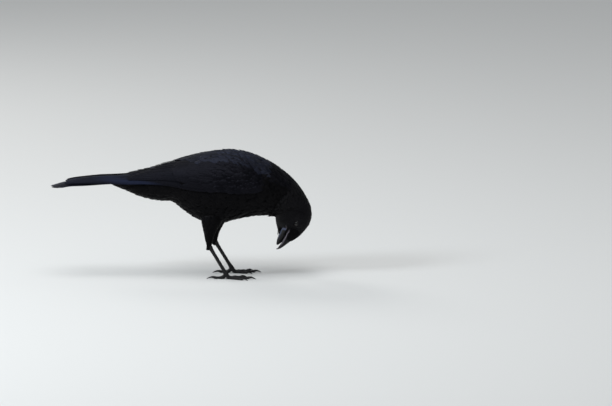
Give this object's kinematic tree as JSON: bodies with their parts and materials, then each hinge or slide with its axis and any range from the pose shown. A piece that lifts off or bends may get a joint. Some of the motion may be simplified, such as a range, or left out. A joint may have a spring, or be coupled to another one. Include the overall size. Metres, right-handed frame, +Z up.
{
  "type": "crow",
  "caption": "Life-size still model of an American crow, all black, standing and bending down so that its bill reaches towards the ground.",
  "frame": {"origin": "on the floor under the middle of the whole crow, between its tail tip and its crown", "axes": "+X towards the crow's front, +Y to the crow's left, +Z up"},
  "size_m": [0.4014, 0.104, 0.1983],
  "materials": {
    "plumage": "soft black contour feathers with a faint violet gloss",
    "flight_feathers": "smooth black vanes with a blue-violet gloss",
    "horn": "satin black horn",
    "leg_skin": "black scaly skin, satin",
    "eye": "wet dark brown, nearly black"
  },
  "bodies": {
    "root": {"bill_lower": "horn", "bill_upper": "horn", "claw_hallux_left": "horn", "claw_hallux_right": "horn", "claw_inner_left": "horn", "claw_inner_right": "horn", "claw_middle_left": "horn", "claw_middle_right": "horn", "claw_outer_left": "horn", "claw_outer_right": "horn", "eye_left": "eye", "eye_right": "eye", "head": "plumage", "nasal_bristles": "plumage", "neck": "plumage", "primaries_left": "flight_feathers", "primaries_right": "flight_feathers", "rump": "plumage", "secondaries_left": "flight_feathers", "secondaries_right": "flight_feathers", "tail": "flight_feathers", "tarsus_left": "leg_skin", "tarsus_right": "leg_skin", "thigh_left": "plumage", "thigh_right": "plumage", "toe_hallux_left": "leg_skin", "toe_hallux_right": "leg_skin", "toe_inner_left": "leg_skin", "toe_inner_right": "leg_skin", "toe_middle_left": "leg_skin", "toe_middle_right": "leg_skin", "toe_outer_left": "leg_skin", "toe_outer_right": "leg_skin", "trunk": "plumage", "wing_left": "flight_feathers", "wing_right": "flight_feathers"}
  },
  "joints": []
}
